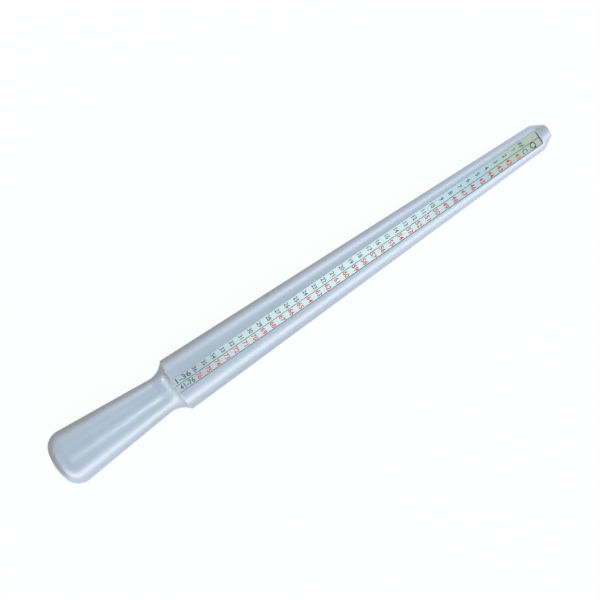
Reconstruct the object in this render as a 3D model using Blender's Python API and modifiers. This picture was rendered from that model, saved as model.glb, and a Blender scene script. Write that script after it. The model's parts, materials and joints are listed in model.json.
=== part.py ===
"""Ring mandrel: a turned aluminium measuring cone with a grip, and a printed scale strip set in a milled channel.

Metres, +Z up. The mandrel lies on its cone as it would on a bench, tip towards +X and scale on top. Its origin is
on the bench, under the middle of its length.
"""

import math

import bmesh
import bpy

MM = 0.001

# Measuring cone
CONE_LENGTH = 188.5 * MM
COLLAR_DIAMETER = 24.9 * MM
CONE_END_DIAMETER = 12.2 * MM
TIP_CHAMFER_LENGTH = 5.4 * MM
TIP_FACE_DIAMETER = 6.0 * MM

# Grip
HANDLE_LENGTH = 62.0 * MM
GRIP_DIAMETER = 25.0 * MM
GRIP_TAPER = math.radians(5.1)
END_DOME_RADIUS = 24.0 * MM
END_CORNER_RADIUS = 7.4 * MM
NECK_FILLET_RADIUS = 9.6 * MM
EDGE_BREAK = 0.25 * MM

# Scale strip and its channel
STRIP_WIDTH = 6.4 * MM
STRIP_THICKNESS = 0.5 * MM
STRIP_CORNER_RADIUS = 0.6 * MM
STRIP_RECESS = 0.12 * MM
STRIP_SIDE_CLEARANCE = 0.15 * MM
STRIP_FLOOR_GAP = 0.3 * MM
TIP_LAND = 0.4 * MM

# Fineness of the round stretches
TURNED_FACETS = 96
DOME_POINTS = 7
CORNER_POINTS = 10
FILLET_POINTS = 10
EDGE_BREAK_SEGMENTS = 2
STRIP_CORNER_SEGMENTS = 6
SHARP_ANGLE = math.radians(20)
AXIS_MERGE = 0.01 * MM

# Colours as linear values
BODY_COLOUR = (0.42, 0.49, 0.58, 1.0)
STRIP_COLOUR = (0.66, 0.79, 0.80, 1.0)


def clear_scene():
    for obj in list(bpy.data.objects):
        bpy.data.objects.remove(obj, do_unlink=True)


def new_collection(name, holds_cutters=False):
    collection = bpy.data.collections.new(name)
    collection.hide_render = holds_cutters
    bpy.context.scene.collection.children.link(collection)
    return collection


def new_material(name, colour, roughness, metallic):
    material = bpy.data.materials.new(name)
    material.use_nodes = True
    shader = material.node_tree.nodes["Principled BSDF"]
    shader.inputs["Base Color"].default_value = colour
    shader.inputs["Roughness"].default_value = roughness
    shader.inputs["Metallic"].default_value = metallic
    return material


def arc(centre, radius, start, end, points):
    """Points along an arc in the (x, radius) plane, both ends included, angles from +X."""
    angles = [start + (end - start) * i / (points - 1) for i in range(points)]
    return [(centre[0] + radius * math.cos(a), centre[1] + radius * math.sin(a)) for a in angles]


def grip_profile():
    """Domed end, rounded corner, straight taper and neck fillet, up to the collar rim at x = 0."""
    corner_height = GRIP_DIAMETER / 2 - END_CORNER_RADIUS
    dome_centre = (END_DOME_RADIUS - HANDLE_LENGTH, 0.0)
    centre_distance = END_DOME_RADIUS - END_CORNER_RADIUS
    corner_centre = (
        dome_centre[0] - math.sqrt(centre_distance**2 - corner_height**2),
        corner_height,
    )
    dome_meets_corner = math.atan2(corner_height, corner_centre[0] - dome_centre[0])
    taper_normal = math.pi / 2 - GRIP_TAPER
    dome = arc(dome_centre, END_DOME_RADIUS, math.pi, dome_meets_corner, DOME_POINTS)
    dome[0] = (-HANDLE_LENGTH, 0.0)
    corner = arc(corner_centre, END_CORNER_RADIUS, dome_meets_corner, taper_normal, CORNER_POINTS)
    return dome + corner[1:] + neck_fillet(corner[-1])


def neck_fillet(taper_start):
    """The concave arc that leaves the taper line tangentially and ends on the collar rim."""
    along = (math.cos(GRIP_TAPER), -math.sin(GRIP_TAPER))
    outward = (math.sin(GRIP_TAPER), math.cos(GRIP_TAPER))
    rim = (0.0, COLLAR_DIAMETER / 2)
    offset = [taper_start[i] + NECK_FILLET_RADIUS * outward[i] - rim[i] for i in (0, 1)]
    along_offset = offset[0] * along[0] + offset[1] * along[1]
    square_gap = offset[0] ** 2 + offset[1] ** 2 - NECK_FILLET_RADIUS**2
    travel = -along_offset - math.sqrt(along_offset**2 - square_gap)
    centre = [rim[i] + offset[i] + travel * along[i] for i in (0, 1)]
    rim_angle = math.atan2(rim[1] - centre[1], rim[0] - centre[0])
    return arc(centre, NECK_FILLET_RADIUS, -math.pi / 2 - GRIP_TAPER, rim_angle, FILLET_POINTS)


def turned_profile():
    """The whole outline from the domed end to the middle of the flat tip."""
    tip_x = CONE_LENGTH + TIP_CHAMFER_LENGTH
    return grip_profile() + [
        (CONE_LENGTH, CONE_END_DIAMETER / 2),
        (tip_x, TIP_FACE_DIAMETER / 2),
        (tip_x, 0.0),
    ]


def rest_angle():
    """How far the tip dips when the lowest facet of the cone lies flat on the bench."""
    facet_drop = lowest_facet_ratio() * (COLLAR_DIAMETER - CONE_END_DIAMETER) / 2
    return math.atan2(facet_drop, CONE_LENGTH)


def lowest_facet_ratio():
    """Distance from the axis to the middle of a facet, over the radius of its corners."""
    return math.cos(math.pi / TURNED_FACETS)


def add_axis(collection):
    """The empty that carries both pieces: its X is the turning axis and its origin the centre of the rim."""
    dip = rest_angle()
    tail = (END_DOME_RADIUS - HANDLE_LENGTH) * math.cos(dip) - END_DOME_RADIUS
    nose = (CONE_LENGTH + TIP_CHAMFER_LENGTH) * math.cos(dip) + TIP_FACE_DIAMETER / 2 * math.sin(dip)
    axis = bpy.data.objects.new("turning_axis", None)
    axis.location = (
        -(tail + nose) / 2,
        0.0,
        lowest_facet_ratio() * COLLAR_DIAMETER / 2 * math.cos(dip),
    )
    axis.rotation_euler = (0.0, dip, 0.0)
    collection.objects.link(axis)
    return axis


def shade_round(obj):
    """Smooth shading that stays crisp at milled edges and level on the wide faces beside an edge break."""
    obj.data.shade_smooth()
    obj.data.set_sharp_from_angle(angle=SHARP_ANGLE)
    normals = obj.modifiers.new("level_faces", "WEIGHTED_NORMAL")
    normals.keep_sharp = True


def apply_modifiers(obj):
    """Turns the evaluated shape into the object's own mesh, so that its edges can be marked sharp."""
    graph = bpy.context.evaluated_depsgraph_get()
    shape = bpy.data.meshes.new_from_object(obj.evaluated_get(graph))
    obj.modifiers.clear()
    obj.data = shape
    shape.name = obj.name


def add_body(collection, axis, material):
    """Turned solid: the profile is spun about X, starting half a facet off so that a facet lies lowest."""
    start = math.pi / TURNED_FACETS
    mesh = bpy.data.meshes.new("mandrel_body")
    shape = bmesh.new()
    corners = [
        shape.verts.new((x, radius * math.sin(start), radius * math.cos(start)))
        for x, radius in reversed(turned_profile())
    ]
    for first, second in zip(corners, corners[1:]):
        shape.edges.new((first, second))
    shape.to_mesh(mesh)
    shape.free()
    body = bpy.data.objects.new("mandrel_body", mesh)
    body.parent = axis
    collection.objects.link(body)
    mesh.materials.append(material)
    spin = body.modifiers.new("turn", "SCREW")
    spin.axis = "X"
    spin.steps = TURNED_FACETS
    spin.render_steps = TURNED_FACETS
    spin.use_merge_vertices = True
    spin.merge_threshold = AXIS_MERGE
    edges = body.modifiers.new("edge_break", "BEVEL")
    edges.width = EDGE_BREAK
    edges.segments = EDGE_BREAK_SEGMENTS
    edges.limit_method = "ANGLE"
    edges.angle_limit = SHARP_ANGLE
    return body


def strip_plane():
    """Height over the axis at the rim, and downward slope, of the plane of the strip's face."""
    half_width = STRIP_WIDTH / 2 + STRIP_SIDE_CLEARANCE
    at_rim = math.sqrt((COLLAR_DIAMETER / 2) ** 2 - half_width**2) - STRIP_RECESS
    at_tip = math.sqrt((CONE_END_DIAMETER / 2) ** 2 - half_width**2) - STRIP_RECESS
    return at_rim, math.atan2(at_rim - at_tip, CONE_LENGTH)


def add_bar(name, collection, axis, start, end, width, bottom, top, corner_radius):
    """A flat bar in the plane of the strip's face, with the two upright edges of its tip end rounded."""
    height, slope = strip_plane()
    mesh = bpy.data.meshes.new(name)
    shape = bmesh.new()
    bmesh.ops.create_cube(shape, size=1.0)
    bmesh.ops.scale(shape, vec=(end - start, width, top - bottom), verts=shape.verts)
    bmesh.ops.translate(shape, vec=((start + end) / 2, 0.0, (bottom + top) / 2), verts=shape.verts)
    tip_corners = [
        edge
        for edge in shape.edges
        if all(vert.co.x > (start + end) / 2 for vert in edge.verts)
        and abs(edge.verts[0].co.y - edge.verts[1].co.y) < width / 2
        and abs(edge.verts[0].co.z - edge.verts[1].co.z) > (top - bottom) / 2
    ]
    bmesh.ops.bevel(
        shape,
        geom=tip_corners,
        offset=corner_radius,
        segments=STRIP_CORNER_SEGMENTS,
        profile=0.5,
        affect="EDGES",
        material=-1,
    )
    shape.to_mesh(mesh)
    shape.free()
    bar = bpy.data.objects.new(name, mesh)
    bar.parent = axis
    bar.location = (0.0, 0.0, height)
    bar.rotation_euler = (0.0, slope, 0.0)
    collection.objects.link(bar)
    return bar


def strip_end():
    """Where the strip's tip end lies along its plane, clear of the channel's end wall."""
    return (CONE_LENGTH - TIP_LAND) / math.cos(strip_plane()[1]) - STRIP_SIDE_CLEARANCE


def add_strip(collection, axis, material):
    strip = add_bar(
        "scale_strip",
        collection,
        axis,
        EDGE_BREAK,
        strip_end(),
        STRIP_WIDTH,
        -STRIP_THICKNESS,
        0.0,
        STRIP_CORNER_RADIUS,
    )
    strip.data.materials.append(material)
    shade_round(strip)
    return strip


def mill_channel(body, cutters, axis):
    """Cuts the strip's channel: open at the collar rim, closed by a thin land at the tip."""
    channel = add_bar(
        "channel_cutter",
        cutters,
        axis,
        -NECK_FILLET_RADIUS,
        strip_end() + STRIP_SIDE_CLEARANCE,
        STRIP_WIDTH + 2 * STRIP_SIDE_CLEARANCE,
        -STRIP_THICKNESS - STRIP_FLOOR_GAP,
        COLLAR_DIAMETER / 2,
        STRIP_CORNER_RADIUS + STRIP_SIDE_CLEARANCE,
    )
    channel.hide_render = True
    channel.display_type = "WIRE"
    cut = body.modifiers.new("channel", "BOOLEAN")
    cut.operation = "DIFFERENCE"
    cut.solver = "EXACT"
    cut.object = channel
    apply_modifiers(body)
    shade_round(body)


def main():
    clear_scene()
    parts = new_collection("ring_mandrel")
    cutters = new_collection("cutters", holds_cutters=True)
    aluminium = new_material("satin_aluminium", BODY_COLOUR, 0.36, 0.85)
    printed_face = new_material("printed_strip", STRIP_COLOUR, 0.42, 0.3)
    axis = add_axis(parts)
    body = add_body(parts, axis, aluminium)
    mill_channel(body, cutters, axis)
    add_strip(parts, axis, printed_face)


main()
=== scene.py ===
"""Looks of a ring mandrel: the turned body, the printed scale strip and the studio it is shown in.

Everything is in metres. Pieces are drawn in the lathe frame, whose X is the turning axis from the
collar rim towards the tip and whose Z points up through the scale, and are then laid down in the
row's frame.
"""

import json
import math

import bmesh
import bpy
from bpy.props import FloatProperty, FloatVectorProperty, IntProperty, PointerProperty
from mathutils import Matrix, Vector


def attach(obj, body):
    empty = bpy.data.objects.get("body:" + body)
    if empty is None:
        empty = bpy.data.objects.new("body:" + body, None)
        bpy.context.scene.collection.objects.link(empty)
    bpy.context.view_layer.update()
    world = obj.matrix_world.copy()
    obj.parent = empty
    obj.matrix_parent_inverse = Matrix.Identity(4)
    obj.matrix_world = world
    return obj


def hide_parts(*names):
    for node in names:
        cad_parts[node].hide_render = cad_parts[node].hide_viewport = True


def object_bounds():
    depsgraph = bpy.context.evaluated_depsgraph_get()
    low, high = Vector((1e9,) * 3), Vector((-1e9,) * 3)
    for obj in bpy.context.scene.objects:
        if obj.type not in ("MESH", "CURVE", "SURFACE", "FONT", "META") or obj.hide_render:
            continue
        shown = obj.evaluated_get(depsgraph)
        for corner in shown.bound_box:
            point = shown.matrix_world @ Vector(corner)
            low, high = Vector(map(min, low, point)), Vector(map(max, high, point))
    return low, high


bl_info = {
    "name": "Ring Mandrel",
    "version": (1, 0, 0),
    "blender": (4, 5, 0),
    "location": "View3D > Sidebar > Mandrel",
    "description": "Builds a ring mandrel with a printed size scale and the studio it is shown in",
    "category": "Object",
}

MM = 0.001
TOUCHING = 0.001 * MM
WHITE = (1.0, 1.0, 1.0)
BODY = "root"

# Shortens the turned body a little, so that its finer mesh stays inside the CAD model's box.
SHORTENED = 0.9999

# Steps along each stretch of the turned outline, and round an edge or corner.
DOME_STEPS, CORNER_STEPS, TAPER_STEPS, NECK_STEPS, CONE_STEPS = 10, 24, 8, 24, 32
EDGE_BREAK_STEPS, STRIP_EDGE_STEPS, STRIP_CORNER_STEPS = 4, 3, 8
RING_STEPS, DOT_STEPS = 40, 16

# Angles past which a turned edge is broken, and past which an edge is shaded sharp.
BROKEN_ANGLE, SHARP_ANGLE = math.radians(20), math.radians(30)

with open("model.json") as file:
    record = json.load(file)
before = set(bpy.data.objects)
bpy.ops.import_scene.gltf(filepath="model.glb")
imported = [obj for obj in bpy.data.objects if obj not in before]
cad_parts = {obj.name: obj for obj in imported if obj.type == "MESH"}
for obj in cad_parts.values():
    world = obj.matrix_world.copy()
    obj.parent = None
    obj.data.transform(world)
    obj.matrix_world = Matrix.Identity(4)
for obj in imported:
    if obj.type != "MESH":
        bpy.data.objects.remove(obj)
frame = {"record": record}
cad_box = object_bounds()
tip_face = next(mount for mount in frame["record"]["mounts"] if mount["name"] == "tip_face")

TIP_CENTRE = Vector(tip_face["pos_m"])
TURNING_AXIS = Vector(tip_face["axis"]).normalized()
REST_DIP = math.atan2(-TURNING_AXIS.z, TURNING_AXIS.x)


def number(name, default, description, **options):
    """A number that isn't negative."""
    return FloatProperty(name=name, description=description, default=default, min=0.0, **options)


def length(name, default_mm, description):
    """A size in metres, given in millimetres."""
    return number(
        name, default_mm * MM, description, precision=6, subtype="DISTANCE", unit="LENGTH"
    )


def angle(name, default_degrees, description):
    """An angle in radians, given in degrees."""
    default = math.radians(default_degrees)
    return number(name, default, description, subtype="ANGLE", unit="ROTATION")


def share(name, default, description):
    """A number from 0 to 1."""
    return number(name, default, description, max=1.0, subtype="FACTOR")


def colour(name, red, green, blue, description):
    """A linear colour."""
    default = (red, green, blue)
    return FloatVectorProperty(
        name=name, description=description, default=default, min=0.0, subtype="COLOR"
    )


class MandrelSizes(bpy.types.PropertyGroup):
    cone_length: length("Cone length", 188.5, "From the collar rim to the start of the tip chamfer")
    collar_diameter: length("Collar diameter", 24.9, "Across the rim at the thick end of the cone")
    cone_end_diameter: length("Cone end diameter", 12.2, "Where the tip chamfer starts")
    chamfer_length: length("Tip chamfer length", 5.4, "Along the axis")
    tip_diameter: length("Tip diameter", 6.0, "Across the flat end")
    handle_length: length("Handle length", 62.0, "From the domed end to the collar rim")
    grip_diameter: length("Grip diameter", 25.0, "At the widest point of the grip")
    grip_taper: angle("Grip taper", 5.1, "Half angle of the grip's straight stretch")
    dome_radius: length("Dome radius", 24.0, "Of the grip's end")
    corner_radius: length("Corner radius", 7.4, "Between the domed end and the grip's side")
    neck_radius: length("Neck fillet radius", 9.6, "Of the hollow behind the collar")
    edge_break: length("Edge break", 0.25, "Rounding of the turned edges")
    turned_steps: IntProperty(name="Steps", description="Steps round the axis", default=240, min=24)


class StripSizes(bpy.types.PropertyGroup):
    width: length("Strip width", 6.4, "Across the printed strip")
    thickness: length("Strip thickness", 0.5, "Of the printed strip")
    corner_radius: length("Corner radius", 0.6, "At the strip's tip end")
    recess: length("Recess", 0.12, "From the cone down to the strip's face, at the strip's sides")
    side_clearance: length("Side clearance", 0.15, "From the stated width to the channel's side")
    seam: length("Seam", 0.03, "Gap that shows between the pressed-in strip and its channel")
    edge_round: length("Edge rounding", 0.06, "Along the strip's upper edges")
    past_rim: length("Past the rim", 1.5, "Run-out behind the rim, before the strip is trimmed")
    floor_gap: length("Floor gap", 0.3, "Under the strip")
    tip_land: length("Tip land", 0.4, "Metal left between the channel and the tip chamfer")


class PrintSizes(bpy.types.PropertyGroup):
    pitch: length("Number pitch", 4.712, "From one ring size to the next along the scale")
    smallest_at: length("Smallest size", 175.8, "Its distance from the collar rim")
    sizes: IntProperty(name="Sizes", description="Ring sizes on the scale", default=36, min=1)
    circumference: IntProperty(
        name="Smallest circumference",
        description="Inner circumference in millimetres of the smallest ring size",
        default=41,
        min=1,
    )
    black_height: length("Black digit height", 2.05, "Of the size numbers")
    red_height: length("Red digit height", 2.25, "Of the circumference numbers")
    black_width: length("Black pair width", 2.2, "Across two digits of a size number")
    red_width: length("Red pair width", 2.6, "Across two digits of a circumference number")
    black_row: length("Black row", 1.75, "From the middle line to the middle of the row")
    red_row: length("Red row", 1.6, "From the middle line to the middle of the row")
    weight: number("Weight", 0.018, "How far the digits' outlines are moved out, in text units")
    range_at: length("Range place", 4.9, "Middle of the two ranges, from the collar rim")
    range_height: length("Range height", 2.28, "Of the two ranges at the rim")
    range_width: length("Range width", 7.15, "Of the two ranges at the rim")
    head_at: length("Head place", 3.9, "From the smallest size to the heads of the rows")
    head_height: length("Head height", 2.35, "Of the heads of the rows")
    black_head_width: length("Black head width", 2.5, "Of the head of the size numbers")
    red_head_width: length("Red head width", 1.9, "Of the head of the circumference numbers")
    line_width: length("Line width", 0.26, "Of the line between the rows")
    line_start: length("Line start", 0.2, "How far behind the rim the lines start")
    line_gap: length("Line gap", 0.013, "Between the middle line and the border")
    border_width: length("Border width", 0.169, "Of the border at the lower side and the tip end")
    ring_at: length("Ring place", 8.2, "From the smallest size to the middle of the ring mark")
    ring_radius: length("Ring radius", 1.4, "Of the ring mark")
    ring_width: length("Ring width", 0.42, "Of the ring mark's line")
    dot_radius: length("Dot radius", 0.45, "Of the dot on the ring mark")
    ink: length("Ink thickness", 0.02, "Height of the print over the strip's face")


class Finish(bpy.types.PropertyGroup):
    metal: colour("Satin metal", 0.51, 0.575, 0.65, "Of the turned body")
    # Paler metal at the turned edges: partly wear, partly a painted edge highlight.
    lightened: colour("Worn metal", 0.66, 0.70, 0.75, "Where handling has polished the edges")
    strip: colour("Strip", 0.615, 0.75, 0.75, "Along most of the printed strip")
    # The strip's colours along its length are painted reflection: a painted shade at the rim end, a
    # painted shade past the middle and a warmer painted reflection at the tip end.
    strip_rim_shade: colour("Strip at the rim", 0.44, 0.525, 0.55, "Where it starts at the collar")
    strip_painted_shade: colour("Dulled strip", 0.455, 0.65, 0.70, "Where thin rings have dulled it")
    strip_tip_reflection: colour("Strip at the tip", 0.51, 0.59, 0.47, "Where it has yellowed")
    black: colour("Black ink", 0.022, 0.036, 0.034, "Of the lines and the size numbers")
    red: colour("Red ink", 0.76, 0.035, 0.018, "Of the circumference numbers")
    floor: colour("Floor", 0.80, 0.80, 0.80, "Of the studio floor")
    # Painted shadow of the floor next to the far foot, seen only in the metal's mirror.
    mirrored_foot_shadow: colour("Mirrored foot", 0.33, 0.17, 0.03, "Mirrored along the far foot")
    mirrored_paper: colour("Mirrored paper", 0.92, 0.94, 0.96, "Mirrored of the rest of the floor")
    metal_roughness: share("Metal roughness", 0.38, "Of the satin surface")
    strip_roughness: share("Strip roughness", 0.32, "Of the foil")
    ink_roughness: share("Ink roughness", 0.5, "Of the print")
    metalness: share("Metalness", 0.9, "Of the satin surface")
    strip_metalness: share("Strip metalness", 0.5, "Of the foil")
    black_rub: share("Black rub", 0.5, "How far the black ink is rubbed away")
    red_rub: share("Red rub", 0.2, "How far the red ink is rubbed away")


class Studio(bpy.types.PropertyGroup):
    camera_distance: length("Camera distance", 690.0, "From the lens to the turning axis")
    aim: length("Aim", 64.2, "Point of the axis at the middle of the picture, from the collar rim")
    lean: angle("Lean", 3.0, "Of the camera off the vertical, to the side of the black row")
    turn: angle("Turn", 34.326, "Of the mandrel in the picture, anticlockwise from level")
    picture_focus: number("Focus", 2.68, "Focal length over the width of the picture")
    overhead: colour("Overhead light", 0.775, 0.83, 0.885, "Cool light from above")
    near_wall: colour("Near wall", 1.58, 1.50, 1.36, "Low light on the side of the red row")
    far_lamp: number("Far lamp", 0.17, "Watts of the low lamp on the side of the black row")
    scale_lamp: number("Scale lamp", 0.20, "Watts of the small lamp over the scale")


class MandrelSettings(bpy.types.PropertyGroup):
    sizes: PointerProperty(type=MandrelSizes)
    strip: PointerProperty(type=StripSizes)
    print: PointerProperty(type=PrintSizes)
    finish: PointerProperty(type=Finish)
    studio: PointerProperty(type=Studio)


def settings():
    return bpy.context.scene.mandrel_settings


def rim_centre():
    """Centre of the collar rim in the row's frame."""
    sizes = settings().sizes
    return TIP_CENTRE - TURNING_AXIS * (sizes.cone_length + sizes.chamfer_length)


def lathe_to_row():
    return Matrix.Translation(rim_centre()) @ Matrix.Rotation(REST_DIP, 4, "Y")


def strip_plane():
    """Height over the axis at the rim, and downward slope, of the plane of the strip's face."""
    sizes, strip = settings().sizes, settings().strip
    half_width = strip.width / 2 + strip.side_clearance
    at_rim = math.sqrt((sizes.collar_diameter / 2) ** 2 - half_width**2) - strip.recess
    at_tip = math.sqrt((sizes.cone_end_diameter / 2) ** 2 - half_width**2) - strip.recess
    return at_rim, math.atan2(at_rim - at_tip, sizes.cone_length)


def strip_to_row():
    """From the strip's own frame, with X along its middle from the rim and Z out of its face."""
    height, slope = strip_plane()
    return lathe_to_row() @ Matrix.Translation((0, 0, height)) @ Matrix.Rotation(slope, 4, "Y")


def strip_end():
    """Place of the strip's tip end along its own middle, as its stated size has it."""
    sizes, strip = settings().sizes, settings().strip
    return (sizes.cone_length - strip.tip_land) / math.cos(strip_plane()[1]) - strip.side_clearance


def new_object(name, data):
    """An object in the scene that shows the data."""
    made = bpy.data.objects.new(name, data)
    bpy.context.scene.collection.objects.link(made)
    return made


def new_piece(name, shape, placed, materials):
    """An object at the origin whose mesh holds its place in the row's frame."""
    shape.transform(placed)
    mesh = bpy.data.meshes.new(name)
    shape.to_mesh(mesh)
    shape.free()
    for material in materials:
        mesh.materials.append(material)
    return new_object(name, mesh)


# Material building

# How far the metal's tone varies, how far grain changes a roughness, how far wear lowers it, and
# the scale that draws the foil's streaks out along the strip.
METAL_MOTTLE, GRAIN_SPREAD, WEAR_POLISH = 0.10, 0.12, 0.10
STREAK_SQUEEZE = (0.04, 1.0, 1.0)


def new_material(name):
    """A plain Principled material, as (material, node tree, shader)."""
    material = bpy.data.materials.new(name)
    material.use_nodes = True
    return material, material.node_tree, material.node_tree.nodes["Principled BSDF"]


def add_node(tree, kind, **values):
    node = tree.nodes.new(kind)
    for name, value in values.items():
        setattr(node, name, value)
    return node


def feed(tree, socket, value):
    """Links a socket to another one, or sets it to a plain value."""
    if isinstance(value, bpy.types.NodeSocket):
        tree.links.new(value, socket)
    else:
        socket.default_value = value


def feed_all(tree, node, **values):
    """Feeds a node's inputs by name, with an underscore for a space, and returns its outputs."""
    for name, value in values.items():
        feed(tree, node.inputs[name.replace("_", " ")], value)
    return node.outputs


def math_node(tree, operation, *operands, clamp=False):
    """A Math node whose operands are sockets or numbers."""
    node = add_node(tree, "ShaderNodeMath", operation=operation, use_clamp=clamp)
    for socket, value in zip(node.inputs, operands):
        feed(tree, socket, value)
    return node.outputs[0]


def vector_node(tree, operation, first):
    """A Vector Math node with its first operand set."""
    node = add_node(tree, "ShaderNodeVectorMath", operation=operation)
    feed(tree, node.inputs[0], first)
    return node


def split(tree, vector):
    """The X, Y and Z sockets of a vector."""
    node = add_node(tree, "ShaderNodeSeparateXYZ")
    tree.links.new(vector, node.inputs[0])
    return node.outputs


def noise_node(tree, vector, size, detail=3.0, distortion=0.0):
    """Noise with blots of about a size in metres, given as a number or a socket."""
    node = add_node(tree, "ShaderNodeTexNoise")
    scale = 1 / size if isinstance(size, float) else math_node(tree, "DIVIDE", 1.0, size)
    feed_all(tree, node, Vector=vector, Scale=scale, Detail=detail, Distortion=distortion)
    return node.outputs["Fac"]


def smooth_step(tree, value, low, high):
    """Rises smoothly from 0 to 1 as a value goes from low to high."""
    step = add_node(tree, "ShaderNodeMapRange", interpolation_type="SMOOTHSTEP")
    return feed_all(tree, step, Value=value, From_Min=low, From_Max=high)["Result"]


def mix_colour(tree, factor, first, second):
    """Mixes two colours, each a socket or a plain colour."""
    node = add_node(tree, "ShaderNodeMix", data_type="RGBA")
    tree.links.new(factor, node.inputs["Factor"])
    for socket, value in ((node.inputs[6], first), (node.inputs[7], second)):
        is_socket = isinstance(value, bpy.types.NodeSocket)
        feed(tree, socket, value if is_socket else (*value, 1.0))
    return node.outputs[2]


def new_group(name, values, results):
    """A shader node group fed a position and named values, as (group, given, made sockets)."""
    group = bpy.data.node_groups.new(name, "ShaderNodeTree")
    add_socket = group.interface.new_socket
    add_socket(name="Position", in_out="INPUT", socket_type="NodeSocketVector")
    for value_name, default in values.items():
        socket = add_socket(name=value_name, in_out="INPUT", socket_type="NodeSocketFloat")
        socket.default_value = default
    for result_name in results:
        add_socket(name=result_name, in_out="OUTPUT", socket_type="NodeSocketFloat")
    given, made = group.nodes.new("NodeGroupInput"), group.nodes.new("NodeGroupOutput")
    return group, given.outputs, made.inputs


def turned_grain_group(name):
    """Fine rings left by turning under an even blasted grain, as a height from 0 to 1."""
    group, given, made = new_group(
        name,
        {"Ring Pitch": 0.1 * MM, "Ring Depth": 0.5, "Grain Size": 0.1 * MM, "Grain Depth": 0.5},
        ("Height",),
    )
    along = split(group, given["Position"])["X"]
    rings = add_node(group, "ShaderNodeTexNoise", noise_dimensions="1D")
    ring_count = math_node(group, "DIVIDE", along, given["Ring Pitch"])
    feed_all(group, rings, W=ring_count, Scale=1.0, Detail=1.0)
    grain = noise_node(group, given["Position"], given["Grain Size"], detail=2.0)
    ring_part = math_node(group, "MULTIPLY", rings.outputs["Fac"], given["Ring Depth"])
    grain_part = math_node(group, "MULTIPLY", grain, given["Grain Depth"])
    feed(group, made["Height"], math_node(group, "ADD", ring_part, grain_part))
    return group


def edge_wear_sheen_group(name):
    """A ring of wear and painted edge highlight round the axis at one place, broken up by noise, as
    a mask.
    """
    group, given, made = new_group(
        name, {"Edge At": 0.0, "Reach": 1.0 * MM, "Amount": 0.5}, ("Mask",)
    )
    offset = math_node(group, "SUBTRACT", split(group, given["Position"])["X"], given["Edge At"])
    distance = math_node(group, "ABSOLUTE", offset)
    nearness = math_node(group, "DIVIDE", distance, given["Reach"])
    falloff = math_node(group, "SUBTRACT", 1.0, nearness, clamp=True)
    patches = noise_node(group, given["Position"], 4 * MM)
    broken = math_node(group, "MULTIPLY", falloff, patches)
    feed(group, made["Mask"], math_node(group, "MULTIPLY", broken, given["Amount"]))
    return group


def handling_group(name):
    """Soft smears of use, as a mask and as a value about 0 to add to a roughness."""
    group, given, made = new_group(
        name, {"Smear Size": 12.0 * MM, "Amount": 0.1}, ("Change", "Smear")
    )
    smear = noise_node(group, given["Position"], given["Smear Size"], detail=4.0, distortion=0.6)
    centred = math_node(group, "SUBTRACT", smear, 0.5)
    feed(group, made["Change"], math_node(group, "MULTIPLY", centred, given["Amount"]))
    feed(group, made["Smear"], smear)
    return group


GROUPS = {
    "Turned Grain": turned_grain_group,
    "Edge Wear And Sheen": edge_wear_sheen_group,
    "Handling": handling_group,
}


def use_group(tree, group_name, **values):
    """Places a group, built at its first use, and sets its inputs, each a socket or a value."""
    group = bpy.data.node_groups.get(group_name) or GROUPS[group_name](group_name)
    return feed_all(tree, add_node(tree, "ShaderNodeGroup", node_tree=group), **values)


def lathe_position(tree):
    """Object coordinates turned into the lathe frame, so that patterns follow the turning axis."""
    placed = add_node(tree, "ShaderNodeTexCoord").outputs["Object"]
    mapping = add_node(tree, "ShaderNodeMapping", vector_type="TEXTURE")
    dip = (0.0, REST_DIP, 0.0)
    return feed_all(tree, mapping, Vector=placed, Location=rim_centre(), Rotation=dip)["Vector"]


def add_bump(tree, shader, height, depth, strength):
    bump = add_node(tree, "ShaderNodeBump")
    feed_all(tree, bump, Height=height, Distance=depth, Strength=strength)
    tree.links.new(bump.outputs["Normal"], shader.inputs["Normal"])


def grained_roughness(tree, grain, middle):
    """A roughness that varies with the grain about a middle value."""
    return math_node(tree, "MULTIPLY_ADD", grain, GRAIN_SPREAD, middle - GRAIN_SPREAD / 2)


def satin_metal():
    """Blasted, anodised aluminium over faint turning rings, polished where hands and rings rub,
    with paler turned edges that are partly wear and partly a painted edge highlight.
    """
    sizes, finish = settings().sizes, settings().finish
    material, tree, shader = new_material("satin_metal")
    position = lathe_position(tree)
    grain = use_group(
        tree,
        "Turned Grain",
        Position=position,
        Ring_Pitch=0.16 * MM,
        Ring_Depth=0.35,
        Grain_Size=0.12 * MM,
        Grain_Depth=0.65,
    )["Height"]
    handling = use_group(tree, "Handling", Position=position, Smear_Size=14 * MM, Amount=0.10)
    wear_and_sheen_edges = (0.0, sizes.cone_length, sizes.cone_length + sizes.chamfer_length)
    wear_and_sheen = 0.0
    # Paler edges at the rim, the cone's end and the tip: partly wear, partly a painted edge
    # highlight.
    for edge in wear_and_sheen_edges:
        mask = use_group(
            tree, "Edge Wear And Sheen", Position=position, Edge_At=edge, Reach=0.7 * MM, Amount=0.35
        )["Mask"]
        wear_and_sheen = math_node(tree, "MAXIMUM", wear_and_sheen, mask)
    mottled = math_node(tree, "ADD", handling["Smear"], grain)
    toned = mix_colour(
        tree,
        math_node(tree, "MULTIPLY", mottled, 0.5),
        [(1 - METAL_MOTTLE) * part for part in finish.metal],
        [(1 + METAL_MOTTLE) * part for part in finish.metal],
    )
    feed(tree, shader.inputs["Base Color"], mix_colour(tree, wear_and_sheen, toned, finish.lightened))
    grained = grained_roughness(tree, grain, finish.metal_roughness)
    handled = math_node(tree, "ADD", grained, handling["Change"])
    rubbed = math_node(tree, "MULTIPLY", wear_and_sheen, WEAR_POLISH)
    feed(tree, shader.inputs["Roughness"], math_node(tree, "SUBTRACT", handled, rubbed))
    shader.inputs["Metallic"].default_value = finish.metalness
    add_bump(tree, shader, grain, 0.02 * MM, 0.8)
    return material


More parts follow.
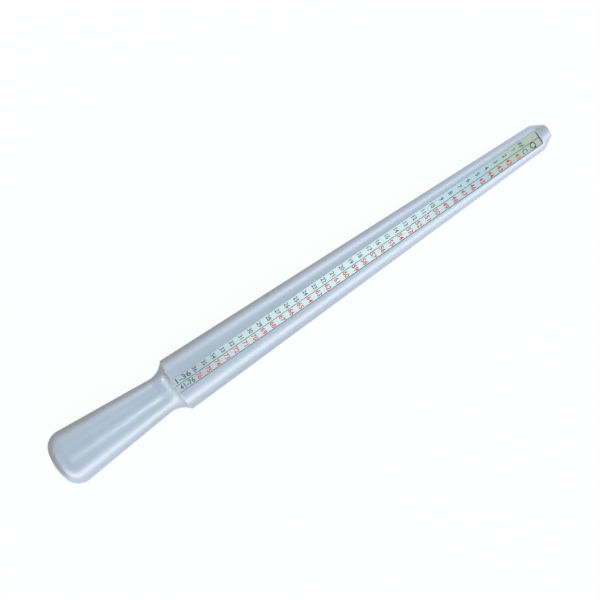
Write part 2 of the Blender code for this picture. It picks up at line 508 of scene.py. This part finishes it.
def printed_foil():
    """Bright foil with a fine lengthwise grain and painted reflection along it: a painted shade at
    the rim end and past the middle, and a warmer painted reflection at the tip end.
    """
    finish = settings().finish
    material, tree, shader = new_material("printed_foil")
    position = lathe_position(tree)
    place = add_node(tree, "ShaderNodeMapRange")
    feed_all(tree, place, Value=split(tree, position)["X"], From_Max=strip_end())
    # A ramp along the strip that paints its reflection: painted shade at the rim end, the bright
    # middle, painted shade past the middle and a warmer painted reflection at the tip.
    tone = add_node(tree, "ShaderNodeValToRGB")
    stops = (
        (0.07, finish.strip_rim_shade),
        (0.13, (finish.strip_rim_shade + 2 * finish.strip) / 3),
        (0.21, finish.strip),
        (0.64, finish.strip),
        (0.83, finish.strip_painted_shade),
        (0.95, finish.strip_tip_reflection),
    )
    ramp = tone.color_ramp
    for _ in stops[2:]:
        ramp.elements.new(0.5)
    for element, (at, value) in zip(ramp.elements, stops):
        element.position = at
        element.color = (*value, 1.0)
    tree.links.new(place.outputs["Result"], tone.inputs["Fac"])
    stretched = add_node(tree, "ShaderNodeMapping", vector_type="POINT")
    feed_all(tree, stretched, Vector=position, Scale=STREAK_SQUEEZE)
    streaks = noise_node(tree, stretched.outputs["Vector"], 0.12 * MM)
    handling = use_group(tree, "Handling", Position=position, Smear_Size=9 * MM, Amount=0.12)
    streak_tone = math_node(tree, "MULTIPLY_ADD", streaks, 0.5, -0.2)
    # The streaks darken towards the colour of the rim's painted shade.
    toned = mix_colour(tree, streak_tone, tone.outputs["Color"], finish.strip_rim_shade)
    tree.links.new(toned, shader.inputs["Base Color"])
    rough = math_node(tree, "ADD", handling["Change"], finish.strip_roughness)
    tree.links.new(rough, shader.inputs["Roughness"])
    shader.inputs["Metallic"].default_value = finish.strip_metalness
    add_bump(tree, shader, streaks, 0.006 * MM, 0.6)
    return material


def ink(name, base, rub):
    """Thin print, rubbed paler in places."""
    finish = settings().finish
    material, tree, shader = new_material(name)
    position = lathe_position(tree)
    grain = noise_node(tree, position, 0.35 * MM)
    patches = noise_node(tree, position, 7 * MM, detail=2.0)
    both = math_node(tree, "MULTIPLY", grain, patches)
    lightened = math_node(tree, "MULTIPLY", both, rub)
    tree.links.new(mix_colour(tree, lightened, base, finish.strip), shader.inputs["Base Color"])
    rough = grained_roughness(tree, grain, finish.ink_roughness)
    tree.links.new(rough, shader.inputs["Roughness"])
    add_bump(tree, shader, grain, 0.004 * MM, 0.4)
    return material


# Turned body

def arc_to(shape, vert, centre, turn, steps):
    """Carries a vertex round a centre (x, z) about +Y and returns the arc's last vertex."""
    made = bmesh.ops.spin(
        shape,
        geom=[vert],
        cent=(centre[0], 0.0, centre[1]),
        axis=(0.0, 1.0, 0.0),
        angle=turn,
        steps=steps,
        use_duplicate=False,
    )
    return next(item for item in made["geom_last"] if isinstance(item, bmesh.types.BMVert))


def line_to(shape, vert, x, z, steps=1):
    """Draws a straight stretch to (x, z) and returns its last vertex."""
    start = vert.co.copy()
    end = Vector((x, 0.0, z))
    for step in range(1, steps + 1):
        vert = bmesh.ops.extrude_vert_indiv(shape, verts=[vert])["verts"][0]
        vert.co = start.lerp(end, step / steps)
    return vert


def draw_outline(shape):
    """Half of the turned outline, from the middle of the dome to the middle of the flat tip."""
    sizes = settings().sizes
    grip, collar = sizes.grip_diameter / 2, sizes.collar_diameter / 2
    dome_x = sizes.dome_radius - sizes.handle_length
    corner_z = grip - sizes.corner_radius
    reach = sizes.dome_radius - sizes.corner_radius
    corner_x = dome_x - math.sqrt(reach**2 - corner_z**2)
    dome_angle = math.atan2(corner_z, dome_x - corner_x)
    corner_angle = math.pi / 2 - dome_angle + sizes.grip_taper
    pen = shape.verts.new((-sizes.handle_length, 0.0, 0.0))
    pen = arc_to(shape, pen, (dome_x, 0.0), dome_angle, DOME_STEPS)
    pen = arc_to(shape, pen, (corner_x, corner_z), corner_angle, CORNER_STEPS)
    taper = sizes.grip_taper
    along = Vector((math.cos(taper), -math.sin(taper)))
    outward = Vector((math.sin(taper), math.cos(taper)))
    rim = Vector((0.0, collar))
    offset = Vector((pen.co.x, pen.co.z)) + sizes.neck_radius * outward - rim
    across = offset.dot(along)
    beyond = math.sqrt(across**2 - offset.length_squared + sizes.neck_radius**2)
    centre = rim + offset - along * (across + beyond)
    taper_end = centre - sizes.neck_radius * outward
    pen = line_to(shape, pen, taper_end.x, taper_end.y, TAPER_STEPS)
    to_rim = rim - centre
    neck_angle = math.pi / 2 + taper + math.atan2(to_rim.y, to_rim.x)
    pen = arc_to(shape, pen, centre, -neck_angle, NECK_STEPS)
    pen.co = (0.0, 0.0, collar)
    pen = line_to(shape, pen, sizes.cone_length, sizes.cone_end_diameter / 2, CONE_STEPS)
    tip_x = sizes.cone_length + sizes.chamfer_length
    pen = line_to(shape, pen, tip_x, sizes.tip_diameter / 2)
    line_to(shape, pen, tip_x, 0.0)


def round_off(shape, parts, radius, steps, affect="EDGES"):
    """Rounds edges of a solid, or corners of a flat shape."""
    bmesh.ops.bevel(
        shape, geom=parts, offset=radius, segments=steps, profile=0.5, affect=affect, material=-1
    )


def turned_solid():
    """The outline spun round the axis, with its ring edges broken."""
    sizes = settings().sizes
    shape = bmesh.new()
    draw_outline(shape)
    inscribed = 2 * cad_box[1][1] / sizes.grip_diameter
    bmesh.ops.scale(shape, vec=(SHORTENED, 1.0, inscribed), verts=shape.verts)
    bmesh.ops.spin(
        shape,
        geom=shape.verts[:] + shape.edges[:],
        cent=(0.0, 0.0, 0.0),
        axis=(1.0, 0.0, 0.0),
        angle=2 * math.pi,
        steps=sizes.turned_steps,
        use_merge=True,
        use_duplicate=False,
    )
    bmesh.ops.remove_doubles(shape, verts=shape.verts, dist=TOUCHING)
    bmesh.ops.recalc_face_normals(shape, faces=shape.faces)
    ring_edges = [edge for edge in shape.edges if edge.calc_face_angle() > BROKEN_ANGLE]
    round_off(shape, ring_edges, sizes.edge_break, EDGE_BREAK_STEPS)
    return shape


def flat_bar(start, end, width, bottom, top, corner_radius):
    """A bar along the strip, with the upright edges of its tip end rounded."""
    shape = bmesh.new()
    bmesh.ops.create_cube(shape, size=1.0)
    bmesh.ops.scale(shape, vec=(end - start, width, top - bottom), verts=shape.verts)
    bmesh.ops.translate(shape, vec=((start + end) / 2, 0.0, (bottom + top) / 2), verts=shape.verts)
    upright = [
        edge
        for edge in shape.edges
        if all(vert.co.x > (start + end) / 2 for vert in edge.verts)
        and abs((edge.verts[0].co - edge.verts[1].co).z) > (top - bottom) / 2
    ]
    round_off(shape, upright, corner_radius, STRIP_CORNER_STEPS)
    return shape


def cut_with(piece, tool, operation, joined=False):
    """Cuts a piece with a tool that is then thrown away, and joins its own overlaps if asked."""
    cut = piece.modifiers.new("cut", "BOOLEAN")
    cut.operation = operation
    cut.solver = "EXACT"
    cut.use_self = joined
    cut.object = tool
    graph = bpy.context.evaluated_depsgraph_get()
    mesh = bpy.data.meshes.new_from_object(piece.evaluated_get(graph))
    piece.modifiers.clear()
    piece.data = mesh
    bpy.data.objects.remove(tool, do_unlink=True)


def smooth_between_edges(piece):
    """Shades a cut piece smooth, but for its sharp edges."""
    piece.data.shade_smooth()
    piece.data.set_sharp_from_angle(angle=SHARP_ANGLE)
    level = piece.modifiers.new("level_faces", "WEIGHTED_NORMAL")
    level.keep_sharp = True


class MANDREL_OT_body(bpy.types.Operator):
    """Turn the cone, collar, neck and grip as one solid and mill the scale's channel into it"""

    bl_idname = "mandrel.body"
    bl_label = "Turned Body"

    def execute(self, context):
        sizes, strip = settings().sizes, settings().strip
        body = new_piece("turned_body", turned_solid(), lathe_to_row(), [satin_metal()])
        cutter_shape = flat_bar(
            -sizes.neck_radius,
            strip_end() + strip.side_clearance,
            strip.width + 2 * strip.side_clearance,
            -strip.thickness - strip.floor_gap,
            sizes.collar_diameter / 2,
            strip.corner_radius + strip.side_clearance,
        )
        cutter = new_piece("channel_cutter", cutter_shape, strip_to_row(), [])
        cut_with(body, cutter, "DIFFERENCE")
        smooth_between_edges(body)
        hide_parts("mandrel_body")
        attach(body, BODY)
        return {"FINISHED"}


def round_top(shape, radius):
    """Rounds the edges round the upper face."""
    top = max(vert.co.z for vert in shape.verts)
    upper = [
        edge for edge in shape.edges if all(top - vert.co.z < TOUCHING for vert in edge.verts)
    ]
    round_off(shape, upper, radius, STRIP_EDGE_STEPS)


class MANDREL_OT_strip(bpy.types.Operator):
    """Lay the printed foil strip in its channel, trimmed flush with the neck fillet at the rim"""

    bl_idname = "mandrel.strip"
    bl_label = "Scale Strip"

    def execute(self, context):
        strip = settings().strip
        slack = strip.side_clearance - strip.seam
        shape = flat_bar(
            -strip.past_rim,
            strip_end() + slack,
            strip.width + 2 * slack,
            -strip.thickness,
            0.0,
            strip.corner_radius + slack,
        )
        round_top(shape, strip.edge_round)
        foil = new_piece("printed_strip", shape, strip_to_row(), [printed_foil()])
        trimmer = new_piece("strip_trimmer", turned_solid(), lathe_to_row(), [])
        cut_with(foil, trimmer, "INTERSECT")
        smooth_between_edges(foil)
        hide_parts("scale_strip")
        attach(foil, BODY)
        return {"FINISHED"}


# Print

# Steps along the curves of a digit, and how near its points merge, in text units.
GLYPH_STEPS, GLYPH_TOUCHING = 6, 1e-4

# How far the ring mark's middle is over the red row's, and its dot's place from its own middle.
RING_LIFT, DOT_ALONG, DOT_ACROSS = 0.1 * MM, 0.55 * MM, -1.15 * MM


def glyphs(words, weight):
    """Words as a flat mesh in text units, middle at the origin, as (bmesh, size)."""
    text = bpy.data.curves.new("glyphs", "FONT")
    text.body = words
    text.offset = weight
    text.space_character = 1.0 + 2.0 * weight
    text.resolution_u = GLYPH_STEPS
    holder = new_object("glyphs", text)
    graph = bpy.context.evaluated_depsgraph_get()
    mesh = bpy.data.meshes.new_from_object(holder.evaluated_get(graph))
    bpy.data.objects.remove(holder, do_unlink=True)
    bpy.data.curves.remove(text)
    shape = bmesh.new()
    shape.from_mesh(mesh)
    bpy.data.meshes.remove(mesh)
    bmesh.ops.remove_doubles(shape, verts=shape.verts, dist=GLYPH_TOUCHING)
    low = Vector((min(v.co.x for v in shape.verts), min(v.co.y for v in shape.verts), 0.0))
    high = Vector((max(v.co.x for v in shape.verts), max(v.co.y for v in shape.verts), 0.0))
    bmesh.ops.translate(shape, vec=-(low + high) / 2, verts=shape.verts)
    return shape, high - low


def raise_ink(shape):
    """Turns flat print into a thin closed layer that starts just inside the strip's face."""
    thickness = settings().print.ink
    bmesh.ops.translate(shape, vec=(0.0, 0.0, -thickness / 2), verts=shape.verts)
    raised = bmesh.ops.extrude_face_region(shape, geom=shape.faces[:], use_keep_orig=True)
    lifted = [item for item in raised["geom"] if isinstance(item, bmesh.types.BMVert)]
    bmesh.ops.translate(shape, vec=(0.0, 0.0, 1.5 * thickness), verts=lifted)
    bmesh.ops.recalc_face_normals(shape, faces=shape.faces)


def text_scale(words, width, height, weight):
    """The factors that bring words to a width and height on the strip."""
    shape, size = glyphs(words, weight)
    shape.free()
    return width / size.x, height / size.y


def stamp(sheet, words, scale, weight, place, turned):
    """Adds words to a print mesh at a place on the strip, upright along it or turned across it."""
    shape, _ = glyphs(words, weight)
    bmesh.ops.scale(shape, vec=(*scale, 1.0), verts=shape.verts)
    if turned:
        quarter = Matrix.Rotation(-math.pi / 2, 3, "Z")
        bmesh.ops.rotate(shape, cent=(0, 0, 0), matrix=quarter, verts=shape.verts)
    bmesh.ops.translate(shape, vec=(*place, 0.0), verts=shape.verts)
    mesh = bpy.data.meshes.new("stamp")
    shape.to_mesh(mesh)
    shape.free()
    sheet.from_mesh(mesh)
    bpy.data.meshes.remove(mesh)


def join_strokes(piece):
    """Joins the overlapping strokes of print, kept inside a bar that is larger than the strip."""
    behind, wide, deep, corner = 5 * MM, 10 * MM, 1 * MM, 2 * MM
    bar = flat_bar(-behind, settings().sizes.cone_length, wide, -deep, deep, corner)
    limit = new_piece("print_limit", bar, strip_to_row(), [])
    cut_with(piece, limit, "INTERSECT", joined=True)


def finish_print(name, sheet, material, words=True):
    """Makes flat print a piece of its own, with its strokes joined if it is words."""
    raise_ink(sheet)
    piece = new_piece(name, sheet, strip_to_row(), [material])
    if words:
        join_strokes(piece)
    piece.data.shade_flat()
    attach(piece, BODY)


def print_row(name, first, pair_width, height, row_y, material):
    """One row of numbers, smallest nearest the tip, each turned so that its top faces the tip."""
    layout = settings().print
    scale = text_scale("88", pair_width, height, layout.weight)
    foreshortening = math.cos(strip_plane()[1])
    sheet = bmesh.new()
    for index in range(layout.sizes):
        along = (layout.smallest_at - index * layout.pitch) / foreshortening
        stamp(sheet, str(first + index), scale, layout.weight, (along, row_y), turned=True)
    finish_print(name, sheet, material)


def black_ink():
    """The black ink, made the first time it is asked for."""
    finish = settings().finish
    return bpy.data.materials.get("black_ink") or ink("black_ink", finish.black, finish.black_rub)


class MANDREL_OT_numbers(bpy.types.Operator):
    """Print the row of ring sizes in black and the row of circumferences in red"""

    bl_idname = "mandrel.numbers"
    bl_label = "Size Numbers"

    def execute(self, context):
        layout, finish = settings().print, settings().finish
        print_row(
            "size_numbers", 1, layout.black_width, layout.black_height, layout.black_row,
            black_ink(),
        )
        print_row(
            "circumference_numbers", layout.circumference, layout.red_width, layout.red_height,
            -layout.red_row, ink("red_ink", finish.red, finish.red_rub),
        )
        return {"FINISHED"}


def add_bar_face(sheet, start, end, low, high):
    """A flat rectangle of print."""
    made = bmesh.ops.create_grid(sheet, x_segments=1, y_segments=1, size=0.5)
    bmesh.ops.scale(sheet, vec=(end - start, high - low, 1.0), verts=made["verts"])
    bmesh.ops.translate(sheet, vec=((start + end) / 2, (low + high) / 2, 0.0), verts=made["verts"])
    return made["verts"]


def leave_frame(sheet, face, width):
    """Takes the middle out of a face of print and leaves a frame of the width."""
    bmesh.ops.inset_region(
        sheet, faces=[face], thickness=width, use_boundary=True, use_even_offset=True
    )
    bmesh.ops.delete(sheet, geom=[face], context="FACES_ONLY")


def add_border(sheet, start, end, half):
    """The border along the lower side and the tip end, cut from a rounded frame."""
    strip, layout = settings().strip, settings().print
    corners = add_bar_face(sheet, start, end, -half, half)
    tip_corners = [vert for vert in corners if vert.co.x > (start + end) / 2]
    round_off(sheet, tip_corners, strip.corner_radius, STRIP_CORNER_STEPS, affect="VERTICES")
    leave_frame(sheet, next(iter(sheet.faces)), layout.border_width)
    upper_side = half - strip.corner_radius
    rim_side = start + 1.5 * layout.line_width
    for point, outward in (
        ((0.0, upper_side, 0.0), (0.0, 1.0, 0.0)),
        ((rim_side, 0.0, 0.0), (-1.0, 0.0, 0.0)),
    ):
        bmesh.ops.bisect_plane(
            sheet,
            geom=sheet.verts[:] + sheet.edges[:] + sheet.faces[:],
            plane_co=point,
            plane_no=outward,
            clear_outer=True,
        )


def add_disc(sheet, along, across, radius, steps):
    """A flat disc of print, returned as its face."""
    made = bmesh.ops.create_circle(sheet, cap_ends=True, segments=steps, radius=radius)
    bmesh.ops.translate(sheet, vec=(along, across, 0.0), verts=made["verts"])
    return made["verts"][0].link_faces[0]


def add_ring_mark(sheet):
    """A plain ring with a dot on it, near the tip end."""
    layout = settings().print
    along, across = layout.smallest_at + layout.ring_at, RING_LIFT - layout.red_row
    disc = add_disc(sheet, along, across, layout.ring_radius, RING_STEPS)
    leave_frame(sheet, disc, layout.ring_width)
    add_disc(sheet, along + DOT_ALONG, across + DOT_ACROSS, layout.dot_radius, DOT_STEPS)


class MANDREL_OT_lines(bpy.types.Operator):
    """Print the line between the rows, the border and a plain ring mark"""

    bl_idname = "mandrel.lines"
    bl_label = "Scale Lines"

    def execute(self, context):
        strip, layout = settings().strip, settings().print
        spread = strip.side_clearance - strip.seam - strip.edge_round
        start, end, half = -layout.line_start, strip_end() + spread, strip.width / 2 + spread
        sheet = bmesh.new()
        add_border(sheet, start, end, half)
        line_end = end - layout.border_width - layout.line_gap
        add_bar_face(sheet, start, line_end, -layout.line_width / 2, layout.line_width / 2)
        add_ring_mark(sheet)
        finish_print("scale_lines", sheet, black_ink(), words=False)
        return {"FINISHED"}


class MANDREL_OT_marks(bpy.types.Operator):
    """Print the generic header marks at the tip and the ranges of the two rows at the rim"""

    bl_idname = "mandrel.marks"
    bl_label = "Scale Marks"

    def execute(self, context):
        layout = settings().print
        largest_circumference = layout.circumference + layout.sizes - 1
        sheet = bmesh.new()
        for words, row_y in (
            (f"1-{layout.sizes}", layout.black_row),
            (f"{layout.circumference}-{largest_circumference}", -layout.red_row),
        ):
            scale = text_scale(words, layout.range_width, layout.range_height, layout.weight)
            place = (layout.range_at, row_y)
            stamp(sheet, words, scale, layout.weight, place, turned=False)
        for words, width, row_y in (
            ("#", layout.black_head_width, layout.black_row),
            ("C", layout.red_head_width, -layout.red_row),
        ):
            scale = text_scale(words, width, layout.head_height, 0.0)
            place = (layout.smallest_at + layout.head_at, row_y)
            stamp(sheet, words, scale, 0.0, place, turned=True)
        finish_print("scale_marks", sheet, black_ink())
        return {"FINISHED"}


# Studio

FLOOR_SIZE = 3.0

# The floor as the metal mirrors it, in metres. Its dark foot is a painted shadow that only the
# metal mirrors. It lies between a near edge, bent away past the domed end, and a far edge that
# follows the cone and turns back past the tip. A bend is a slope along X and its value at X = 0. An
# edge is a pair of Y values the tone changes between.
PAST_DOME, PAST_TIP, ALONG_CONE = (-0.8, -0.1), (-1.2, 0.192), 0.3
NEAR_EDGE, FAR_EDGE = (0.024, 0.004), (0.002, 0.062)

# The near side, as mirrored, is painted light: dimmest beside the collar, it brightens along X by a
# slope, up to a limit.
DIMMEST_X, BRIGHTER_SLOPE, BRIGHTEST = -0.035, 3.6, 1.5

# Light of the white paper, and the shares of it that the metal mirrors and the camera sees.
PAPER_STRENGTH, MIRROR_SHARE, SEEN_SHARE = 1.03, 0.5, 0.90

# Upward and sideways parts of a direction between which the low wall's light sets in.
WALL_HEIGHT, WALL_SIDE = (0.48, 0.10), (0.0, -0.65)

# Each soft lamp's place, the point it is turned to and its two sides, in metres.
SCALE_LAMP = ((0.135, -0.112, 0.65), (0.02, 0.0, 0.015), 0.14, 0.03)
FAR_LAMP = ((0.10, 0.45, 0.05), (0.10, 0.0, 0.01), 0.27, 0.15)

# Where the small grip lamps are mirrored: distance behind the rim and radius in millimetres, lean
# of the surface towards the tip and turn round the axis in degrees, then power in watts and width
# of the beam in degrees.
GRIP_GLINTS = (
    (29.0, 10.2, 5.1, 3.4, 0.23, 7.6),
    (28.0, 10.2, 5.1, -22.0, 0.13, 7.5),
    (7.0, 8.7, 1.0, 4.0, 0.26, 4.0),
    (6.0, 8.8, -6.0, 4.0, 0.34, 4.0),
    (4.6, 9.1, -15.0, 4.0, 0.40, 4.0),
    (2.2, 10.3, -31.0, -32.0, 0.85, 4.6),
    (2.3, 10.3, -32.0, -22.0, 0.38, 4.0),
    (2.3, 10.3, -32.0, -14.0, 0.36, 4.0),
    (2.5, 10.2, -30.0, -6.0, 0.40, 4.0),
    (2.5, 10.2, -30.0, 2.0, 0.40, 4.0),
    (2.5, 10.2, -30.0, 10.0, 0.10, 4.0),
)
GRIP_LAMP_DISTANCE, GRIP_LAMP_RADIUS = 0.6, 0.02


def floor_material():
    """Pale paper, white to the camera but for the shadow; in the metal it mirrors a painted shadow
    along the far foot and painted light on the near side.
    """
    finish = settings().finish
    material, tree, shader = new_material("studio_paper")
    position = add_node(tree, "ShaderNodeTexCoord").outputs["Object"]
    fibre = noise_node(tree, position, 2 * MM)
    tone = mix_colour(tree, fibre, [0.99 * part for part in finish.floor], finish.floor)
    tree.links.new(tone, shader.inputs["Base Color"])
    shader.inputs["Roughness"].default_value = 0.9
    shader.inputs["Specular IOR Level"].default_value = 0.1
    along, across, _ = split(tree, position)
    past_dome = math_node(tree, "MULTIPLY_ADD", along, *PAST_DOME)
    near_edge = math_node(tree, "ADD", across, math_node(tree, "MAXIMUM", past_dome, 0.0))
    near_side = smooth_step(tree, near_edge, *NEAR_EDGE)
    along_cone = math_node(tree, "MULTIPLY", along, ALONG_CONE)
    past_tip = math_node(tree, "MULTIPLY_ADD", along, *PAST_TIP)
    far_edge = math_node(tree, "ADD", across, math_node(tree, "MINIMUM", along_cone, past_tip))
    far_off = smooth_step(tree, far_edge, *FAR_EDGE)
    # Painted light on the mirrored near side, growing along X away from the collar.
    from_collar = math_node(tree, "ABSOLUTE", math_node(tree, "SUBTRACT", along, DIMMEST_X))
    brighter = math_node(tree, "MULTIPLY_ADD", from_collar, BRIGHTER_SLOPE, 1.0)
    limited = math_node(tree, "MINIMUM", brighter, BRIGHTEST)
    away = math_node(tree, "MAXIMUM", near_side, far_off)
    # The far foot's painted shadow, mixed into the paper that the metal mirrors.
    paper = mix_colour(tree, away, finish.mirrored_foot_shadow, finish.mirrored_paper)
    mirrored = vector_node(tree, "MULTIPLY", paper)
    tree.links.new(mix_colour(tree, near_side, WHITE, limited), mirrored.inputs[1])
    path = add_node(tree, "ShaderNodeLightPath")
    seen = path.outputs["Is Camera Ray"]
    paper_white = add_node(tree, "ShaderNodeEmission")
    shown = mix_colour(tree, seen, mirrored.outputs[0], WHITE)
    tree.links.new(shown, paper_white.inputs["Color"])
    paper_white.inputs["Strength"].default_value = PAPER_STRENGTH
    mirror_share = math_node(tree, "MULTIPLY", path.outputs["Is Glossy Ray"], MIRROR_SHARE)
    seen_share = math_node(tree, "MULTIPLY", seen, SEEN_SHARE)
    both = add_node(tree, "ShaderNodeMixShader")
    tree.links.new(math_node(tree, "MAXIMUM", seen_share, mirror_share), both.inputs[0])
    tree.links.new(shader.outputs[0], both.inputs[1])
    tree.links.new(paper_white.outputs[0], both.inputs[2])
    tree.links.new(both.outputs[0], tree.nodes["Material Output"].inputs["Surface"])
    return material


def studio_world():
    """Cool light from above, a low bright wall on one side, and white behind the floor's edge."""
    studio = settings().studio
    world = bpy.data.worlds.new("studio")
    world.use_nodes = True
    tree = world.node_tree
    direction = add_node(tree, "ShaderNodeTexCoord").outputs["Generated"]
    _, toward_y, upward = split(tree, direction)
    low = smooth_step(tree, upward, *WALL_HEIGHT)
    near = math_node(tree, "MULTIPLY", smooth_step(tree, toward_y, *WALL_SIDE), low)
    wall = vector_node(tree, "SCALE", studio.near_wall)
    tree.links.new(near, wall.inputs["Scale"])
    lit = vector_node(tree, "ADD", studio.overhead)
    tree.links.new(wall.outputs[0], lit.inputs[1])
    path = add_node(tree, "ShaderNodeLightPath")
    seen = mix_colour(tree, path.outputs["Is Camera Ray"], lit.outputs[0], WHITE)
    tree.links.new(seen, tree.nodes["Background"].inputs["Color"])
    tree.nodes["Background"].inputs["Strength"].default_value = 1.0
    bpy.context.scene.world = world


def axes_at(place, right, up, back):
    """A frame at a place, from its three axes."""
    return Matrix.Translation(place) @ Matrix((right, up, back)).transposed().to_4x4()


def add_lamp(name, place, aim, size_x, size_y, power):
    """A soft rectangular lamp at a place, turned towards a point, its X side along the mandrel."""
    light = bpy.data.lights.new(name, "AREA")
    light.shape = "RECTANGLE"
    light.size = size_x
    light.size_y = size_y
    light.energy = power
    back = (Vector(place) - Vector(aim)).normalized()
    upward = back.cross(Vector((1.0, 0.0, 0.0))).normalized()
    lamp = new_object(name, light)
    lamp.visible_camera = False
    lamp.matrix_world = axes_at(place, upward.cross(back), upward, back)


def add_grip_lamps():
    """Small lamps whose glints the camera sees along the grip and round the neck fillet."""
    placed = lathe_to_row()
    camera_place = bpy.context.scene.camera.matrix_world.translation
    for behind_rim, radius, lean, turn, power, beam in GRIP_GLINTS:
        turned = Matrix.Rotation(math.radians(turn), 4, "X")
        tipped = Matrix.Rotation(math.radians(lean), 4, "Y")
        spot = placed @ turned @ Vector((-behind_rim * MM, 0.0, radius * MM))
        normal = (placed @ turned @ tipped).to_3x3() @ Vector((0.0, 0.0, 1.0))
        toward_camera = (camera_place - spot).normalized()
        mirrored = 2 * normal.dot(toward_camera) * normal - toward_camera
        light = bpy.data.lights.new("grip_lamp", "SPOT")
        light.energy = power
        light.spot_size = math.radians(beam)
        light.spot_blend = 1.0
        light.shadow_soft_size = GRIP_LAMP_RADIUS
        lamp = new_object("grip_lamp", light)
        lamp.location = spot + GRIP_LAMP_DISTANCE * mirrored
        lamp.rotation_euler = (-mirrored).to_track_quat("-Z", "Y").to_euler()


def add_camera():
    """The camera, looking down on the mandrel and turned as the picture has it."""
    studio = settings().studio
    target = rim_centre() + TURNING_AXIS * studio.aim
    back = Vector((0.0, math.sin(studio.lean), math.cos(studio.lean)))
    along = Vector((1.0, 0.0, 0.0))
    across = back.cross(along)
    right = math.cos(studio.turn) * along - math.sin(studio.turn) * across
    up = math.sin(studio.turn) * along + math.cos(studio.turn) * across
    data = bpy.data.cameras.new("studio_camera")
    data.sensor_width = 36.0
    data.lens = data.sensor_width * studio.picture_focus
    data.dof.use_dof = False
    camera = new_object("studio_camera", data)
    camera.matrix_world = axes_at(target + back * studio.camera_distance, right, up, back)
    bpy.context.scene.camera = camera


class MANDREL_OT_stage(bpy.types.Operator):
    """Lay the pale floor and set the studio light and the camera"""

    bl_idname = "mandrel.stage"
    bl_label = "Studio"

    def execute(self, context):
        shape = bmesh.new()
        bmesh.ops.create_grid(shape, x_segments=1, y_segments=1, size=FLOOR_SIZE)
        floor = new_piece("studio_floor", shape, Matrix.Identity(4), [floor_material()])
        studio_world()
        studio = settings().studio
        add_lamp("scale_lamp", *SCALE_LAMP, studio.scale_lamp)
        add_lamp("far_lamp", *FAR_LAMP, studio.far_lamp)
        add_camera()
        add_grip_lamps()
        context.scene.view_settings.view_transform = "Standard"
        return {"FINISHED"}


class MANDREL_PT_panel(bpy.types.Panel):
    """Lists the pieces of the mandrel and their sizes"""

    bl_idname = "MANDREL_PT_panel"
    bl_label = "Ring Mandrel"
    bl_space_type = "VIEW_3D"
    bl_region_type = "UI"
    bl_category = "Mandrel"

    def draw(self, context):
        layout = self.layout
        for operator in OPERATORS:
            layout.operator(operator.bl_idname)
        chosen = context.scene.mandrel_settings
        for group in (chosen.sizes, chosen.strip, chosen.print, chosen.finish, chosen.studio):
            box = layout.box()
            for name in group.__annotations__:
                box.prop(group, name)


OPERATORS = (
    MANDREL_OT_body,
    MANDREL_OT_strip,
    MANDREL_OT_numbers,
    MANDREL_OT_lines,
    MANDREL_OT_marks,
    MANDREL_OT_stage,
)
PROPERTY_GROUPS = (MandrelSizes, StripSizes, PrintSizes, Finish, Studio, MandrelSettings)
CLASSES = (*PROPERTY_GROUPS, *OPERATORS, MANDREL_PT_panel)


def register():
    for cls in CLASSES:
        bpy.utils.register_class(cls)
    bpy.types.Scene.mandrel_settings = PointerProperty(type=MandrelSettings)


def unregister():
    del bpy.types.Scene.mandrel_settings
    for cls in reversed(CLASSES):
        bpy.utils.unregister_class(cls)


def main():
    register()
    bpy.ops.mandrel.body()
    bpy.ops.mandrel.strip()
    bpy.ops.mandrel.numbers()
    bpy.ops.mandrel.lines()
    bpy.ops.mandrel.marks()
    bpy.ops.mandrel.stage()


if __name__ == "__main__":
    main()
